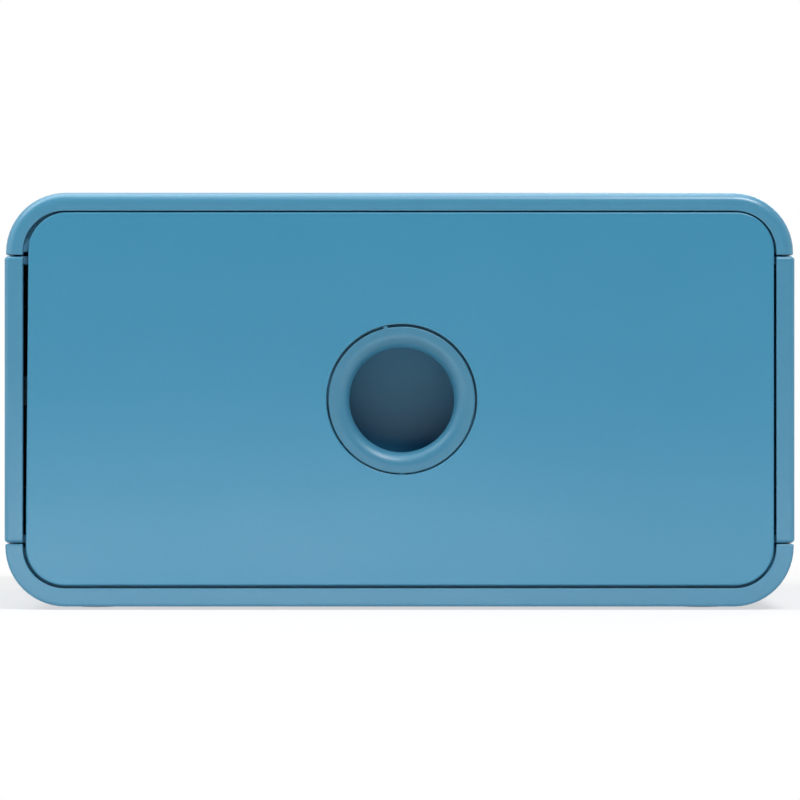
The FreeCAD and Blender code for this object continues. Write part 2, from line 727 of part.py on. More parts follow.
def build_tray():
    """The open box of the drawer, with a rail along either side."""
    body = new_body("drawer_tray")
    low = measure(tray_low)
    floor = measure(f"{tray_low} + tray_floor")
    top = measure(tray_high)
    height = f"({tray_high} - {tray_low})"

    outline = flat_sketch(body, "outline", tray_low)
    add_rounded_box(
        outline, f"-{tray_half}", tray_half, tray_front, tray_back, "tray_corner_radius"
    )
    extrude(body, "Pad", "block", outline, height, "up")
    finish_edges(
        body, "Fillet", "lower_edge", "tray_edge_radius",
        lambda box: in_plane(box.ZMin, box.ZMax, low),
    )
    inside = flat_sketch(body, "inside_outline", tray_high)
    add_rounded_box(
        inside, f"-({tray_half} - tray_wall)", f"({tray_half} - tray_wall)",
        tray_inside, f"({tray_back} - tray_wall)", "(tray_corner_radius - tray_wall)",
    )
    extrude(body, "Pocket", "inside", inside, f"({height} - tray_floor)", "down")
    finish_edges(
        body, "Fillet", "inner_edge", "tray_inner_radius",
        lambda box: in_plane(box.ZMin, box.ZMax, floor),
    )
    finish_edges(
        body, "Fillet", "rim_edge", "tray_rim_radius",
        lambda box: in_plane(box.ZMin, box.ZMax, top),
    )

    # The rails, and on each the bump that meets the runner's tooth at full travel.
    rail_front = f"({tray_front} + rail_end_inset)"
    rails = upright_sketch(body, "rail_outline", rail_front)
    bumps = upright_sketch(body, "bump_outline", bump_front)
    for side in left_and_right.values():
        root = f"{side} * ({tray_half} - tray_wall / 2)"
        tip = f"{side} * {rail_tip}"
        add_box(rails, root, tip, "rail_level", rail_top)
        add_box(bumps, root, tip, f"({rail_top} - rail_thickness / 2)", f"({rail_top} + bump_height)")
    extrude(body, "Pad", "rails", rails, f"({tray_back} - tray_corner_radius - {rail_front})", "back")
    extrude(body, "Pad", "bumps", bumps, "bump_length", "back")

    cup_hole = upright_sketch(body, "cup_hole_outline", f"({tray_front} - cutter_extra)")
    add_circle(cup_hole, "pull_offset", ring_level, f"({cup_outer} + cup_hole_gap)")
    extrude(body, "Pocket", "cup_hole", cup_hole, "(cutter_extra * 2 + tray_wall)", "back")
    screw_holes = upright_sketch(body, "screw_hole_outline", tray_front)
    for side in left_and_right.values():
        for level in front_boss_levels:
            add_circle(
                screw_holes, f"{side} * {front_boss_x}", level, "(screw_radius + passing_gap)"
            )
    extrude(body, "Pocket", "screw_holes", screw_holes, "tray_wall", "back")
    return body


def build_drawer_front():
    """The flat face of the drawer, with a frame, ribs and screw bosses on its back."""
    body = new_body("drawer_front")
    left_low = f"-({opening_half} - front_gap_left_low)"
    left_high = f"-({opening_half} - front_gap_left_high)"

    outline = upright_sketch(body, "outline", "0")
    add_outline(
        outline,
        [
            (left_low, front_low, front_corner),
            (front_right, front_low, front_corner),
            (front_right, front_high, front_corner),
            (left_high, front_high, front_corner),
        ],
    )
    extrude(body, "Pad", "plate", outline, "front_thickness", "back")
    finish_edges(
        body, "Fillet", "face_edge", "front_edge_radius",
        lambda box: in_plane(box.YMin, box.YMax, 0),
    )
    hole = upright_sketch(body, "hole_outline", "0")
    add_circle(hole, "pull_offset", hole_level, hole_radius)
    extrude(body, "Pocket", "ring_hole", hole, "front_thickness", "back")
    hole_width = 2 * measure(hole_radius)
    finish_edges(
        body, "Fillet", "hole_edge", "ring_edge_radius",
        lambda box: in_plane(box.YMin, box.YMax, 0) and abs(box.XLength - hole_width) < tiny,
    )

    # The frame is padded as a ring, and the upright ribs join its top and bottom.
    frame = upright_sketch(body, "frame_outline", "(front_thickness / 2)")
    add_rounded_box(frame, f"-{frame_half}", frame_half, frame_low, frame_high, frame_corner)
    add_rounded_box(
        frame, f"-({frame_half} - rib_thickness)", f"({frame_half} - rib_thickness)",
        f"({frame_low} + rib_thickness)", f"({frame_high} - rib_thickness)",
        f"({frame_corner} - rib_thickness)",
    )
    extrude(body, "Pad", "frame", frame, "(front_thickness / 2 + frame_height)", "back")
    ribs = upright_sketch(body, "rib_outline", "(front_thickness / 2)")
    for side in left_and_right.values():
        middle = f"{side} * frame_rib_place"
        add_box(
            ribs, f"({middle} - rib_thickness / 2)", f"({middle} + rib_thickness / 2)",
            f"({frame_low} + rib_thickness / 2)", f"({frame_high} - rib_thickness / 2)",
        )
    extrude(body, "Pad", "ribs", ribs, "(front_thickness / 2 + frame_height)", "back")

    bosses = upright_sketch(body, "boss_outline", "(front_thickness / 2)")
    pilots = upright_sketch(body, "pilot_outline", tray_front)
    for side in left_and_right.values():
        for level in front_boss_levels:
            add_circle(bosses, f"{side} * {front_boss_x}", level, "front_boss_radius")
            add_circle(
                pilots, f"{side} * {front_boss_x}", level, "(screw_radius + pilot_gap)"
            )
    extrude(body, "Pad", "bosses", bosses, f"(front_thickness / 2 + {front_boss_length})", "back")
    extrude(body, "Pocket", "pilots", pilots, "(short_screw - tray_wall + pilot_end_gap)", "front")

    cup_bosses = upright_sketch(body, "cup_boss_outline", "(front_thickness / 2)")
    cup_pilots = upright_sketch(body, "cup_pilot_outline", ring_back)
    for turn in cup_screw_turns:
        x, z = cup_screw_place(turn)
        add_circle(cup_bosses, x, z, "cup_boss_radius")
        add_circle(cup_pilots, x, z, "(small_screw_radius + pilot_gap)")
    extrude(
        body, "Pad", "cup_bosses", cup_bosses,
        "(front_thickness / 2 + ring_shoulder_thickness)", "back",
    )
    extrude(
        body, "Pocket", "cup_pilots", cup_pilots,
        "(small_screw - cup_flange_thickness + pilot_end_gap)", "front",
    )
    return body


def cup_screw_place(turn):
    """Where one of the cup's screws is, by its angle about the pull."""
    x = f"(pull_offset + {cup_screw_circle} * cos({turn}))"
    z = f"({ring_level} + {cup_screw_circle} * sin({turn}))"
    return x, z


def centre_on_pull(body):
    """Puts a turned piece, drawn about its own axis, on the axis of the pull."""
    body.setExpression("Placement.Base.x", bind("pull_offset"))
    body.setExpression("Placement.Base.z", bind(f"foot_proud + {ring_level}"))


def build_finger_ring():
    """The ring in the drawer front, turned about the pull's axis, and its two keys."""
    body = new_body("finger_ring")
    profile = flat_sketch(body, "profile", "0")
    add_outline(
        profile,
        [
            ("finger_radius", ring_back),
            ("finger_radius", "0", mouth_round),
            ("ring_radius", "0", "ring_edge_radius"),
            ("ring_radius", "front_thickness"),
            (ring_outer, "front_thickness"),
            (ring_outer, ring_back),
        ],
    )
    revolve(body, "ring", profile, "V_Axis")
    for name, turn in (("lower_key", "0"), ("upper_key", "key_turn")):
        key = upright_sketch(body, f"{name}_outline", "ring_edge_radius")
        key.setExpression("AttachmentOffset.Rotation.Angle", bind(f"{turn} * 1 deg"))
        reach = f"({hole_radius} - ring_drop * cos({turn}) - key_gap)"
        add_box(key, "-key_width / 2", "key_width / 2", f"-{reach}", "-(ring_radius - key_width)")
        extrude(body, "Pad", name, key, "(front_thickness - ring_edge_radius)", "back")
    centre_on_pull(body)
    return body


def build_finger_cup():
    """The closed recess behind the ring, wider than the finger hole, on a flange with four ears."""
    body = new_body("finger_cup")
    profile = flat_sketch(body, "profile", "0")
    add_outline(
        profile,
        [
            ("0", "cup_depth"),
            ("cup_radius", "cup_depth", "cup_floor_radius"),
            ("cup_radius", ring_back),
            ("cup_flange_radius", ring_back),
            ("cup_flange_radius", cup_flange_back),
            (cup_outer, cup_flange_back),
            (cup_outer, "(cup_depth + cup_wall)", "(cup_floor_radius + cup_wall)"),
            ("0", "(cup_depth + cup_wall)"),
        ],
    )
    revolve(body, "cup", profile, "V_Axis")
    ears = upright_sketch(body, "ear_outline", ring_back)
    holes = upright_sketch(body, "hole_outline", ring_back)
    for turn in cup_screw_turns:
        x = f"({cup_screw_circle} * cos({turn}))"
        z = f"({cup_screw_circle} * sin({turn}))"
        add_circle(ears, x, z, "cup_ear_radius")
        add_circle(holes, x, z, "(small_screw_radius + passing_gap)")
    extrude(body, "Pad", "ears", ears, "cup_flange_thickness", "back")
    extrude(body, "Pocket", "screw_holes", holes, "cup_flange_thickness", "back")
    centre_on_pull(body)
    return body


# Screws


def build_screw(label, radius, head_radius, head_height, length, sunk=False):
    """A cross-head screw along z. The surface that its head sits on or in is at z = 0."""
    body = document.addObject("PartDesign::Body", label)
    tip = f"({radius} * 0.6)"
    top = "0" if sunk else head_height
    if sunk:
        head = [(radius, f"-({head_radius} - {radius})"), (head_radius, "0")]
    else:
        head = [
            (radius, "0"),
            (head_radius, "0"),
            (head_radius, head_height, f"({head_height} * 0.6)"),
        ]
    profile = upright_sketch(body, "profile", "0")
    add_outline(
        profile,
        [("0", f"-{length}"), (tip, f"-{length}"), (radius, f"-({length} - {radius})")]
        + head
        + [("0", top)],
    )
    revolve(body, "turned", profile, "V_Axis")
    cross = flat_sketch(body, "cross_outline", top)
    arm = f"({head_radius} * 0.6)"
    near = "(cross_width / 2)"
    add_outline(
        cross,
        [
            (near, near), (near, arm), (f"-{near}", arm), (f"-{near}", near),
            (f"-{arm}", near), (f"-{arm}", f"-{near}"), (f"-{near}", f"-{near}"),
            (f"-{near}", f"-{arm}"), (near, f"-{arm}"), (near, f"-{near}"),
            (arm, f"-{near}"), (arm, near),
        ],
    )
    extrude(body, "Pocket", "cross", cross, "cross_depth", "down")
    return body


def group_screws(label, screw, spots):
    """Copies of one screw at spots, each its place in the casing's frame and the way it points."""
    down = FreeCAD.Vector(0, 0, -1)
    copies = []
    for number, (x, y, z, points) in enumerate(spots, start=1):
        copy = document.addObject("App::Link", f"{label}_{number}")
        copy.LinkedObject = screw
        copy.Placement = FreeCAD.Placement(
            FreeCAD.Vector(), FreeCAD.Rotation(down, FreeCAD.Vector(*points))
        )
        copy.setExpression("Placement.Base.x", bind(x))
        copy.setExpression("Placement.Base.y", bind(f"({y}) - casing_depth / 2"))
        copy.setExpression("Placement.Base.z", bind(f"({z}) + foot_proud"))
        copies.append(copy)
    group = document.addObject("Part::Compound", label)
    group.Label = label
    group.Links = copies
    return group


def build_screw_groups():
    """All the screws, one group for each place that they are fitted from."""
    long_screw = build_screw(
        "long_screw_pattern", "screw_radius", "screw_head_radius", "screw_head_height", "long_screw"
    )
    short_screw = build_screw(
        "short_screw_pattern", "screw_radius", "screw_head_radius", "screw_head_height", "short_screw"
    )
    small_screw = build_screw(
        "small_screw_pattern", "small_screw_radius", "small_head_radius", "small_head_height",
        "small_screw",
    )
    sunk_screw = build_screw(
        "sunk_screw_pattern", "sunk_screw_radius", "sunk_head_radius", "0", "sunk_screw", sunk=True
    )
    sides = left_and_right.values()
    joints = [(f"{side} * {joint_x}", place) for side in sides for place in joint_places]
    upper = [(x, y, f"({panel_high} - panel_flange)", (0, 0, 1)) for x, y in joints]
    lower = [(x, y, f"({panel_low} + panel_flange)", (0, 0, -1)) for x, y in joints]
    back = [
        (f"{side} * back_screw_place", "(casing_depth - back_inset)", level, (0, -1, 0))
        for side in sides
        for level in (back_boss_z, f"(casing_height - {back_boss_z})")
    ]
    runner = [
        (f"{side} * {web_face}", place, runner_middle, (int(side), 0, 0))
        for side in sides
        for place in runner_places
    ]
    front = [
        (f"{side} * {front_boss_x}", tray_inside, level, (0, -1, 0))
        for side in sides
        for level in front_boss_levels
    ]
    cup = []
    for turn in cup_screw_turns:
        x, z = cup_screw_place(turn)
        cup.append((x, cup_flange_back, z, (0, -1, 0)))
    return [
        group_screws("upper_casing_screws", long_screw, upper),
        group_screws("lower_casing_screws", long_screw, lower),
        group_screws("back_panel_screws", long_screw, back),
        group_screws("runner_screws", sunk_screw, runner),
        group_screws("drawer_front_screws", short_screw, front),
        group_screws("finger_cup_screws", small_screw, cup),
    ]


def build_all():
    """Every piece of the unit, in the order that it would be put together."""
    top_shell = build_shell("top_shell", "top_edge_radius", False)
    turn_over(top_shell)
    pieces = [build_shell("bottom_shell", "base_edge_radius", True), top_shell]
    for name, side in left_and_right.items():
        pieces.append(build_side_panel(f"{name}_side_panel", side))
        pieces.append(build_runner(f"{name}_runner", side))
        for end, place in foot_places.items():
            pieces.append(build_foot(f"{end}_{name}_foot", side, place))
    pieces += [build_back_panel(), build_tray(), build_drawer_front()]
    pieces += [build_finger_ring(), build_finger_cup()]
    return pieces + build_screw_groups()


def check(pieces):
    """Stops if any feature failed, any cut removed nothing, or any piece isn't sound."""
    for item in document.Objects:
        if "Invalid" in item.State or "Error" in item.State:
            raise RuntimeError(f"{item.Name} did not build: {item.State}")
        if item.TypeId == "PartDesign::Pocket":
            if item.Shape.Volume > item.BaseFeature.Shape.Volume - tiny:
                raise RuntimeError(f"{item.Name} cuts nothing")
    for piece in pieces:
        if piece.Shape.isNull() or not piece.Shape.isValid():
            raise RuntimeError(f"{piece.Label} is not a sound shape")


pieces = build_all()
document.recompute()
check(pieces)
os.makedirs("parts", exist_ok=True)
for piece in pieces:
    piece.Shape.exportStep(f"parts/{piece.Label}.step")
    box = piece.Shape.BoundBox
    print(
        f"{piece.Label}: {len(piece.Shape.Solids)} solid, "
        f"x {box.XMin:.2f} to {box.XMax:.2f}, y {box.YMin:.2f} to {box.YMax:.2f}, "
        f"z {box.ZMin:.2f} to {box.ZMax:.2f}"
    )
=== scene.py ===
import math
import bmesh
import bpy
import numpy as np
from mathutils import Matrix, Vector


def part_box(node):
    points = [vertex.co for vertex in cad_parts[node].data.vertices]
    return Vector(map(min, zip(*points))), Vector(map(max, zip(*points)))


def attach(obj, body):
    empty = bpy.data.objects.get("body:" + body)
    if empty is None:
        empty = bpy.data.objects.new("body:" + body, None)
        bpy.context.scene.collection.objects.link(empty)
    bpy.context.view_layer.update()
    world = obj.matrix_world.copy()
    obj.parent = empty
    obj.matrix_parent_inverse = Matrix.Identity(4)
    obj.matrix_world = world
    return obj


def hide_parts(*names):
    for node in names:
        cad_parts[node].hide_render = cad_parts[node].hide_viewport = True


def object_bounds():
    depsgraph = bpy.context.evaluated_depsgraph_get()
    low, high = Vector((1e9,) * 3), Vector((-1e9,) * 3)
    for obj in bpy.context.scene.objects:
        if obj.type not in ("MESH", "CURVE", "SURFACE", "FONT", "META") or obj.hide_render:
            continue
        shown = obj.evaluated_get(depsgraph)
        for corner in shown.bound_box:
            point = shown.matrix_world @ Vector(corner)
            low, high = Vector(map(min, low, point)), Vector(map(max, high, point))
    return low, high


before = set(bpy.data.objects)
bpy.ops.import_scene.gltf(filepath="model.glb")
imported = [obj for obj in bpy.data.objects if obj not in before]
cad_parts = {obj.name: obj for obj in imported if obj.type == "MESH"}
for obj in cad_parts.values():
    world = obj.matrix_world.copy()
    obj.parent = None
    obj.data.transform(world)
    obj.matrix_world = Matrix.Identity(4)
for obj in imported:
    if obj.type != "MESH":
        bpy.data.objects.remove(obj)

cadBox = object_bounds()    # the CAD model's box, before anything is added

# A desktop drawer unit in satin blue plastic, seen straight from the front.
# Everything is in metres. The front looks along -Y, and the floor is z = 0.

camera = {
    "distance": 1.5,            # from the casing's front face
    "shownWidth": 0.25291,      # how much of the front plane the picture takes in
    "aim": (0.00015, 0.06634),  # x and z of the picture's middle
    "sensorWidth": 36.0,
}


# lens length = sensor width * distance / shown width
def placeCamera(c):
    data = bpy.data.cameras.new("camera")
    data.sensor_width = c["sensorWidth"]
    data.lens = c["sensorWidth"] * c["distance"] / c["shownWidth"]
    cam = bpy.data.objects.new("camera", data)
    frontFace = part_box("top_shell")[0].y
    cam.location = (c["aim"][0], frontFace - c["distance"], c["aim"][1])
    cam.rotation_euler = (math.radians(90), 0, 0)
    bpy.context.scene.collection.objects.link(cam)
    bpy.context.scene.camera = cam


placeCamera(camera)
print("camera placed")


# helpers for node trees

def addNode(tree, kind, **settings):
    node = tree.nodes.new("ShaderNode" + kind)
    for name, value in settings.items():
        setattr(node, name, value)
    return node


# an input takes another node's output, or a plain value
def feed(tree, socket, source):
    if isinstance(source, bpy.types.NodeSocket):
        tree.links.new(source, socket)
    else:
        socket.default_value = source


def mathNode(tree, operation, *values):
    node = addNode(tree, "Math", operation=operation)
    for socket, value in zip(node.inputs, values):
        feed(tree, socket, value)
    return node.outputs[0]


def vectorMath(tree, operation, *values, output="Vector"):
    node = addNode(tree, "VectorMath", operation=operation)
    for socket, value in zip(node.inputs, values):
        feed(tree, socket, value)
    return node.outputs[output]


def axisOf(tree, vector, axis):
    node = addNode(tree, "SeparateXYZ")
    tree.links.new(vector, node.inputs[0])
    return node.outputs[axis]


# a value carried from one span to another, smoothly at both ends
def smoothSpan(tree, value, fromSpan, toSpan=(0.0, 1.0)):
    node = addNode(tree, "MapRange", interpolation_type="SMOOTHSTEP")
    feed(tree, node.inputs["Value"], value)
    for name, number in zip(("From Min", "From Max", "To Min", "To Max"), (*fromSpan, *toSpan)):
        node.inputs[name].default_value = number
    return node.outputs["Result"]


def noiseNode(tree, vector, size, detail=2.0, roughness=0.5):
    node = addNode(tree, "TexNoise", noise_dimensions="3D")
    tree.links.new(vector, node.inputs["Vector"])
    feed(tree, node.inputs["Scale"], mathNode(tree, "DIVIDE", 1.0, size))
    node.inputs["Detail"].default_value = detail
    node.inputs["Roughness"].default_value = roughness
    return node.outputs["Fac"]


def mixColour(tree, factor, first, second, blend="MIX"):
    node = addNode(tree, "Mix", data_type="RGBA", blend_type=blend)
    feed(tree, node.inputs["Factor"], factor)
    feed(tree, node.inputs["A"], first)
    feed(tree, node.inputs["B"], second)
    return node.outputs["Result"]


def mixShader(tree, factor, first, second):
    node = addNode(tree, "MixShader")
    feed(tree, node.inputs[0], factor)
    tree.links.new(first.outputs[0], node.inputs[1])
    tree.links.new(second.outputs[0], node.inputs[2])
    return node.outputs[0]


room = {
    "floorColour": (0.90, 0.90, 0.90),
    "floorReach": 6.0,
    "floorShown": 0.62,           # share of plain white that the camera sees on the floor near the object
    "shadowReach": (0.16, 0.42),  # from the middle: where that share starts to grow, and where it is all
    "frontGloss": 0.05,           # how white the camera's side of the room is in reflections
    "backGloss": 1.0,             # and the sides and the back
    "glossTurn": (-0.75, -0.10),  # y of the directions between which it changes
    "worldLight": 0.0,            # brightness of the room on the object
    "white": 1.0,                 # strength of the plain white
}


# 1 for the rays that see the white background: from the camera, off gloss, and through clear things
def backgroundRays(tree, gloss=1.0):
    path = addNode(tree, "LightPath")
    glossy = mathNode(tree, "MULTIPLY", path.outputs["Is Glossy Ray"], gloss)
    seen = mathNode(tree, "MAXIMUM", path.outputs["Is Camera Ray"], glossy)
    return mathNode(tree, "MAXIMUM", seen, path.outputs["Is Transmission Ray"])


def whiteBackground(tree, strength):
    node = addNode(tree, "Background")
    node.inputs["Color"].default_value = (1, 1, 1, 1)
    node.inputs["Strength"].default_value = strength
    return node


def makeWorld(r):
    world = bpy.data.worlds.new("room")
    world.use_nodes = True
    bpy.context.scene.world = world
    tree = world.node_tree
    tree.nodes.clear()
    along = axisOf(tree, addNode(tree, "TexCoord").outputs["Generated"], "Y")
    turn = smoothSpan(tree, along, r["glossTurn"], (r["frontGloss"], r["backGloss"]))
    light = whiteBackground(tree, r["worldLight"])
    seen = whiteBackground(tree, r["white"])
    mixed = mixShader(tree, backgroundRays(tree, turn), light, seen)
    tree.links.new(mixed, addNode(tree, "OutputWorld").inputs["Surface"])


# the camera sees the floor partly plain white and partly lit, so the object's shadow stays
def makeFloorPaper(r):
    material = bpy.data.materials.new("floorPaper")
    material.use_nodes = True
    tree = material.node_tree
    tree.nodes.clear()
    lit = addNode(tree, "BsdfDiffuse")
    lit.inputs["Color"].default_value = (*r["floorColour"], 1)
    white = addNode(tree, "Emission")
    white.inputs["Strength"].default_value = r["white"]
    place = addNode(tree, "TexCoord").outputs["Object"]
    distance = vectorMath(tree, "LENGTH", place, output="Value")
    share = smoothSpan(tree, distance, r["shadowReach"], (r["floorShown"], 1.0))
    shown = mathNode(tree, "MULTIPLY", backgroundRays(tree), share)
    mixed = mixShader(tree, shown, lit, white)
    tree.links.new(mixed, addNode(tree, "OutputMaterial").inputs["Surface"])
    return material


def makeFloor(r):
    reach = r["floorReach"]
    corners = [(-reach, -reach, 0), (reach, -reach, 0), (reach, reach, 0), (-reach, reach, 0)]
    mesh = bpy.data.meshes.new("floor")
    mesh.from_pydata(corners, [], [(0, 1, 2, 3)])
    floor = bpy.data.objects.new("floor", mesh)
    bpy.context.scene.collection.objects.link(floor)
    mesh.materials.append(makeFloorPaper(r))


# the boxes light the object, and the cards are seen in its gloss only
lamps = {
    "overheadBox": {"place": (-0.32, 0.0, 1.15), "target": (0.0, -0.05, 0.10), "size": (1.0, 1.0),
                    "power": 4.2},
    "highLeftBox": {"place": (-0.85, -0.25, 1.05), "target": (0.0, -0.05, 0.10), "size": (0.6, 0.6),
                    "power": 5.6},
    "frontBox": {"place": (0.52, -1.05, 1.62), "target": (0.0, -0.09, 0.07), "size": (0.75, 0.24),
                 "power": 25.0},
    "leftBox": {"place": (-1.2, -0.45, 0.45), "target": (0.0, 0.0, 0.06), "size": (1.0, 1.0),
                "power": 3.0},
    "backBox": {"place": (0.5, 1.3, 0.8), "target": (0.0, 0.1, 0.06), "size": (0.8, 0.8),
                "power": 7.0},
    "topCard": {"place": (-0.05, 0.10, 1.0), "target": (-0.05, 0.10, 0.0), "size": (0.9, 0.9),
                "power": 6.6, "glossOnly": True},
    "lowCard": {"place": (0.05, -0.32, 0.009), "target": (0.05, 0.0, 0.009), "size": (0.70, 0.016),
                "power": 0.195, "glossOnly": True},
    "lowCardLeft": {"place": (-0.13, -0.34, 0.013), "target": (-0.13, 0.0, 0.013), "size": (0.34, 0.024),
                    "power": 0.060, "glossOnly": True},
}


def makeLamp(name, lamp):
    data = bpy.data.lights.new(name, "AREA")
    data.shape = "RECTANGLE"
    data.size, data.size_y = lamp["size"]
    data.energy = lamp["power"]
    box = bpy.data.objects.new(name, data)
    box.location = lamp["place"]
    away = Vector(lamp["target"]) - Vector(lamp["place"])
    box.rotation_euler = away.to_track_quat("-Z", "Y").to_euler()
    box.visible_camera = False
    box.visible_diffuse = not lamp.get("glossOnly", False)
    bpy.context.scene.collection.objects.link(box)


makeWorld(room)
makeFloor(room)
for name, lamp in lamps.items():
    makeLamp(name, lamp)
bpy.context.scene.view_settings.view_transform = "Standard"
print("room and lamps ready")


# shared effects, each a node group that is built once and takes the place on the piece

def makeGroup(name, inputs, outputs):
    tree = bpy.data.node_groups.new(name, "ShaderNodeTree")
    for title, kind, default in [("Place", "Vector", (0, 0, 0)), *inputs]:
        socket = tree.interface.new_socket(title, in_out="INPUT", socket_type="NodeSocket" + kind)
        socket.default_value = default
    for title, kind in outputs:
        tree.interface.new_socket(title, in_out="OUTPUT", socket_type="NodeSocket" + kind)
    start, end = tree.nodes.new("NodeGroupInput"), tree.nodes.new("NodeGroupOutput")
    return tree, start.outputs, end.inputs


def useGroup(tree, group, **values):
    node = addNode(tree, "Group", node_tree=group)
    for title, value in values.items():
        feed(tree, node.inputs[title], value)
    return node.outputs


mouldSkin = {
    "coarser": 3.1, "coarseShare": 0.5,          # the second noise's size and height, against the grain's
    "sheenCoarse": 0.35, "sheenSlow": 0.65,      # what the roughness follows
}


# spark-eroded skin:
# height = grain height * (fine noise + half as much of a coarser one) + sink height * slow noise
def makeSkinGroup(m):
    tree, start, end = makeGroup(
        "mouldSkin",
        [("Grain", "Float", 0.0004), ("GrainHeight", "Float", 5e-6), ("Sink", "Float", 0.03),
         ("SinkHeight", "Float", 2e-5)],
        [("Height", "Float"), ("Sheen", "Float")])
    place, grain = start["Place"], start["Grain"]
    fine = noiseNode(tree, place, grain, detail=1.0)
    coarse = noiseNode(tree, place, mathNode(tree, "MULTIPLY", grain, m["coarser"]), detail=2.0)
    slow = noiseNode(tree, place, start["Sink"], detail=1.0)
    both = mathNode(tree, "MULTIPLY_ADD", coarse, m["coarseShare"], fine)
    skin = mathNode(tree, "MULTIPLY", both, start["GrainHeight"])
    feed(tree, end["Height"], mathNode(tree, "MULTIPLY_ADD", slow, start["SinkHeight"], skin))
    slowSheen = mathNode(tree, "MULTIPLY", slow, m["sheenSlow"])
    feed(tree, end["Sheen"], mathNode(tree, "MULTIPLY_ADD", coarse, m["sheenCoarse"], slowSheen))
    return tree


toneDrift = {"pigment": 0.0006, "noiseMiddle": 0.5}    # size of the pigment's specks; what noise is on average


# colour = colour * (1 + drift * slow noise + speckle * pigment noise), both noises about zero
def makeToneGroup(t):
    tree, start, end = makeGroup(
        "toneDrift",
        [("Colour", "Color", (1, 1, 1, 1)), ("Drift", "Float", 0.05), ("Size", "Float", 0.08),
         ("Speckle", "Float", 0.04)],
        [("Colour", "Color")])
    slow = noiseNode(tree, start["Place"], start["Size"], detail=3.0)
    slow = mathNode(tree, "SUBTRACT", slow, t["noiseMiddle"])
    pigment = noiseNode(tree, start["Place"], t["pigment"], detail=1.0)
    pigment = mathNode(tree, "SUBTRACT", pigment, t["noiseMiddle"])
    shade = mathNode(tree, "MULTIPLY_ADD", slow, start["Drift"], 1.0)
    shade = mathNode(tree, "MULTIPLY_ADD", pigment, start["Speckle"], shade)
    bright = addNode(tree, "CombineXYZ")
    for socket in bright.inputs:
        feed(tree, socket, shade)
    feed(tree, end["Colour"], mixColour(tree, 1.0, start["Colour"], bright.outputs[0], "MULTIPLY"))
    return tree


# paler edges: wear on the screws and feet; on the plastics, wear and partly a painted highlight along the
# edges
edgeWearAndHighlight = {
    "samples": 4,
    "lean": (0.99, 0.75),                                       # cosines between which the paler edge grows
    "patchNoise": (0.35, 0.70), "patchShare": (0.25, 1.0),      # how noise breaks it up
}


# rounded normal from the surface within Width;
# mask = how far it leans from the surface's own, broken up by noise
def makeEdgeGroup(e):
    tree, start, end = makeGroup(
        "edgeWearAndHighlight",
        [("Width", "Float", 0.0004), ("Patch", "Float", 0.012), ("Amount", "Float", 0.5)],
        [("Mask", "Float"), ("Normal", "Vector")])
    bevel = addNode(tree, "Bevel", samples=e["samples"])
    feed(tree, bevel.inputs["Radius"], start["Width"])
    flat = addNode(tree, "NewGeometry").outputs["Normal"]
    lean = vectorMath(tree, "DOT_PRODUCT", bevel.outputs[0], flat, output="Value")
    sharp = smoothSpan(tree, lean, e["lean"])
    noise = noiseNode(tree, start["Place"], start["Patch"], detail=3.0)
    patch = smoothSpan(tree, noise, e["patchNoise"], e["patchShare"])
    edgeShare = mathNode(tree, "MULTIPLY", sharp, patch)
    feed(tree, end["Mask"], mathNode(tree, "MULTIPLY", edgeShare, start["Amount"]))
    feed(tree, end["Normal"], bevel.outputs[0])
    return tree


dustFall = {
    "upward": (0.6, 0.98),                                        # z of the normal between which dust grows
    "cloudNoise": (0.30, 0.75), "detail": 5.0, "roughness": 0.6,
}


# settles on faces that look up: mask = amount * upward share * cloudy noise
def makeDustGroup(d):
    tree, start, end = makeGroup(
        "dust", [("Amount", "Float", 0.1), ("Cloud", "Float", 0.02)], [("Mask", "Float")])
    facing = axisOf(tree, addNode(tree, "NewGeometry").outputs["Normal"], "Z")
    upward = smoothSpan(tree, facing, d["upward"])
    noise = noiseNode(tree, start["Place"], start["Cloud"], d["detail"], d["roughness"])
    settled = mathNode(tree, "MULTIPLY", upward, smoothSpan(tree, noise, d["cloudNoise"]))
    feed(tree, end["Mask"], mathNode(tree, "MULTIPLY", settled, start["Amount"]))
    return tree


rubbing = {"stretch": (1.0, 0.025, 1.0), "lineNoise": (0.55, 0.72)}


# fine rub lines along Y: noise that is stretched forty times along the way the drawer slides
def makeRubGroup(b):
    tree, start, end = makeGroup(
        "rubLines", [("Line", "Float", 0.0005), ("Amount", "Float", 0.5)], [("Mask", "Float")])
    stretched = vectorMath(tree, "MULTIPLY", start["Place"], b["stretch"])
    noise = noiseNode(tree, stretched, start["Line"], detail=2.0)
    lines = smoothSpan(tree, noise, b["lineNoise"])
    feed(tree, end["Mask"], mathNode(tree, "MULTIPLY", lines, start["Amount"]))
    return tree


coreSide = {
    "corner": 0.020,                      # radius of the casing's corners
    "skin": 0.003, "backSkin": 0.006,     # thickness that counts as outside, all round and at the back
    "blend": (0.0004, 0.0012),            # depths between which the mask grows
}


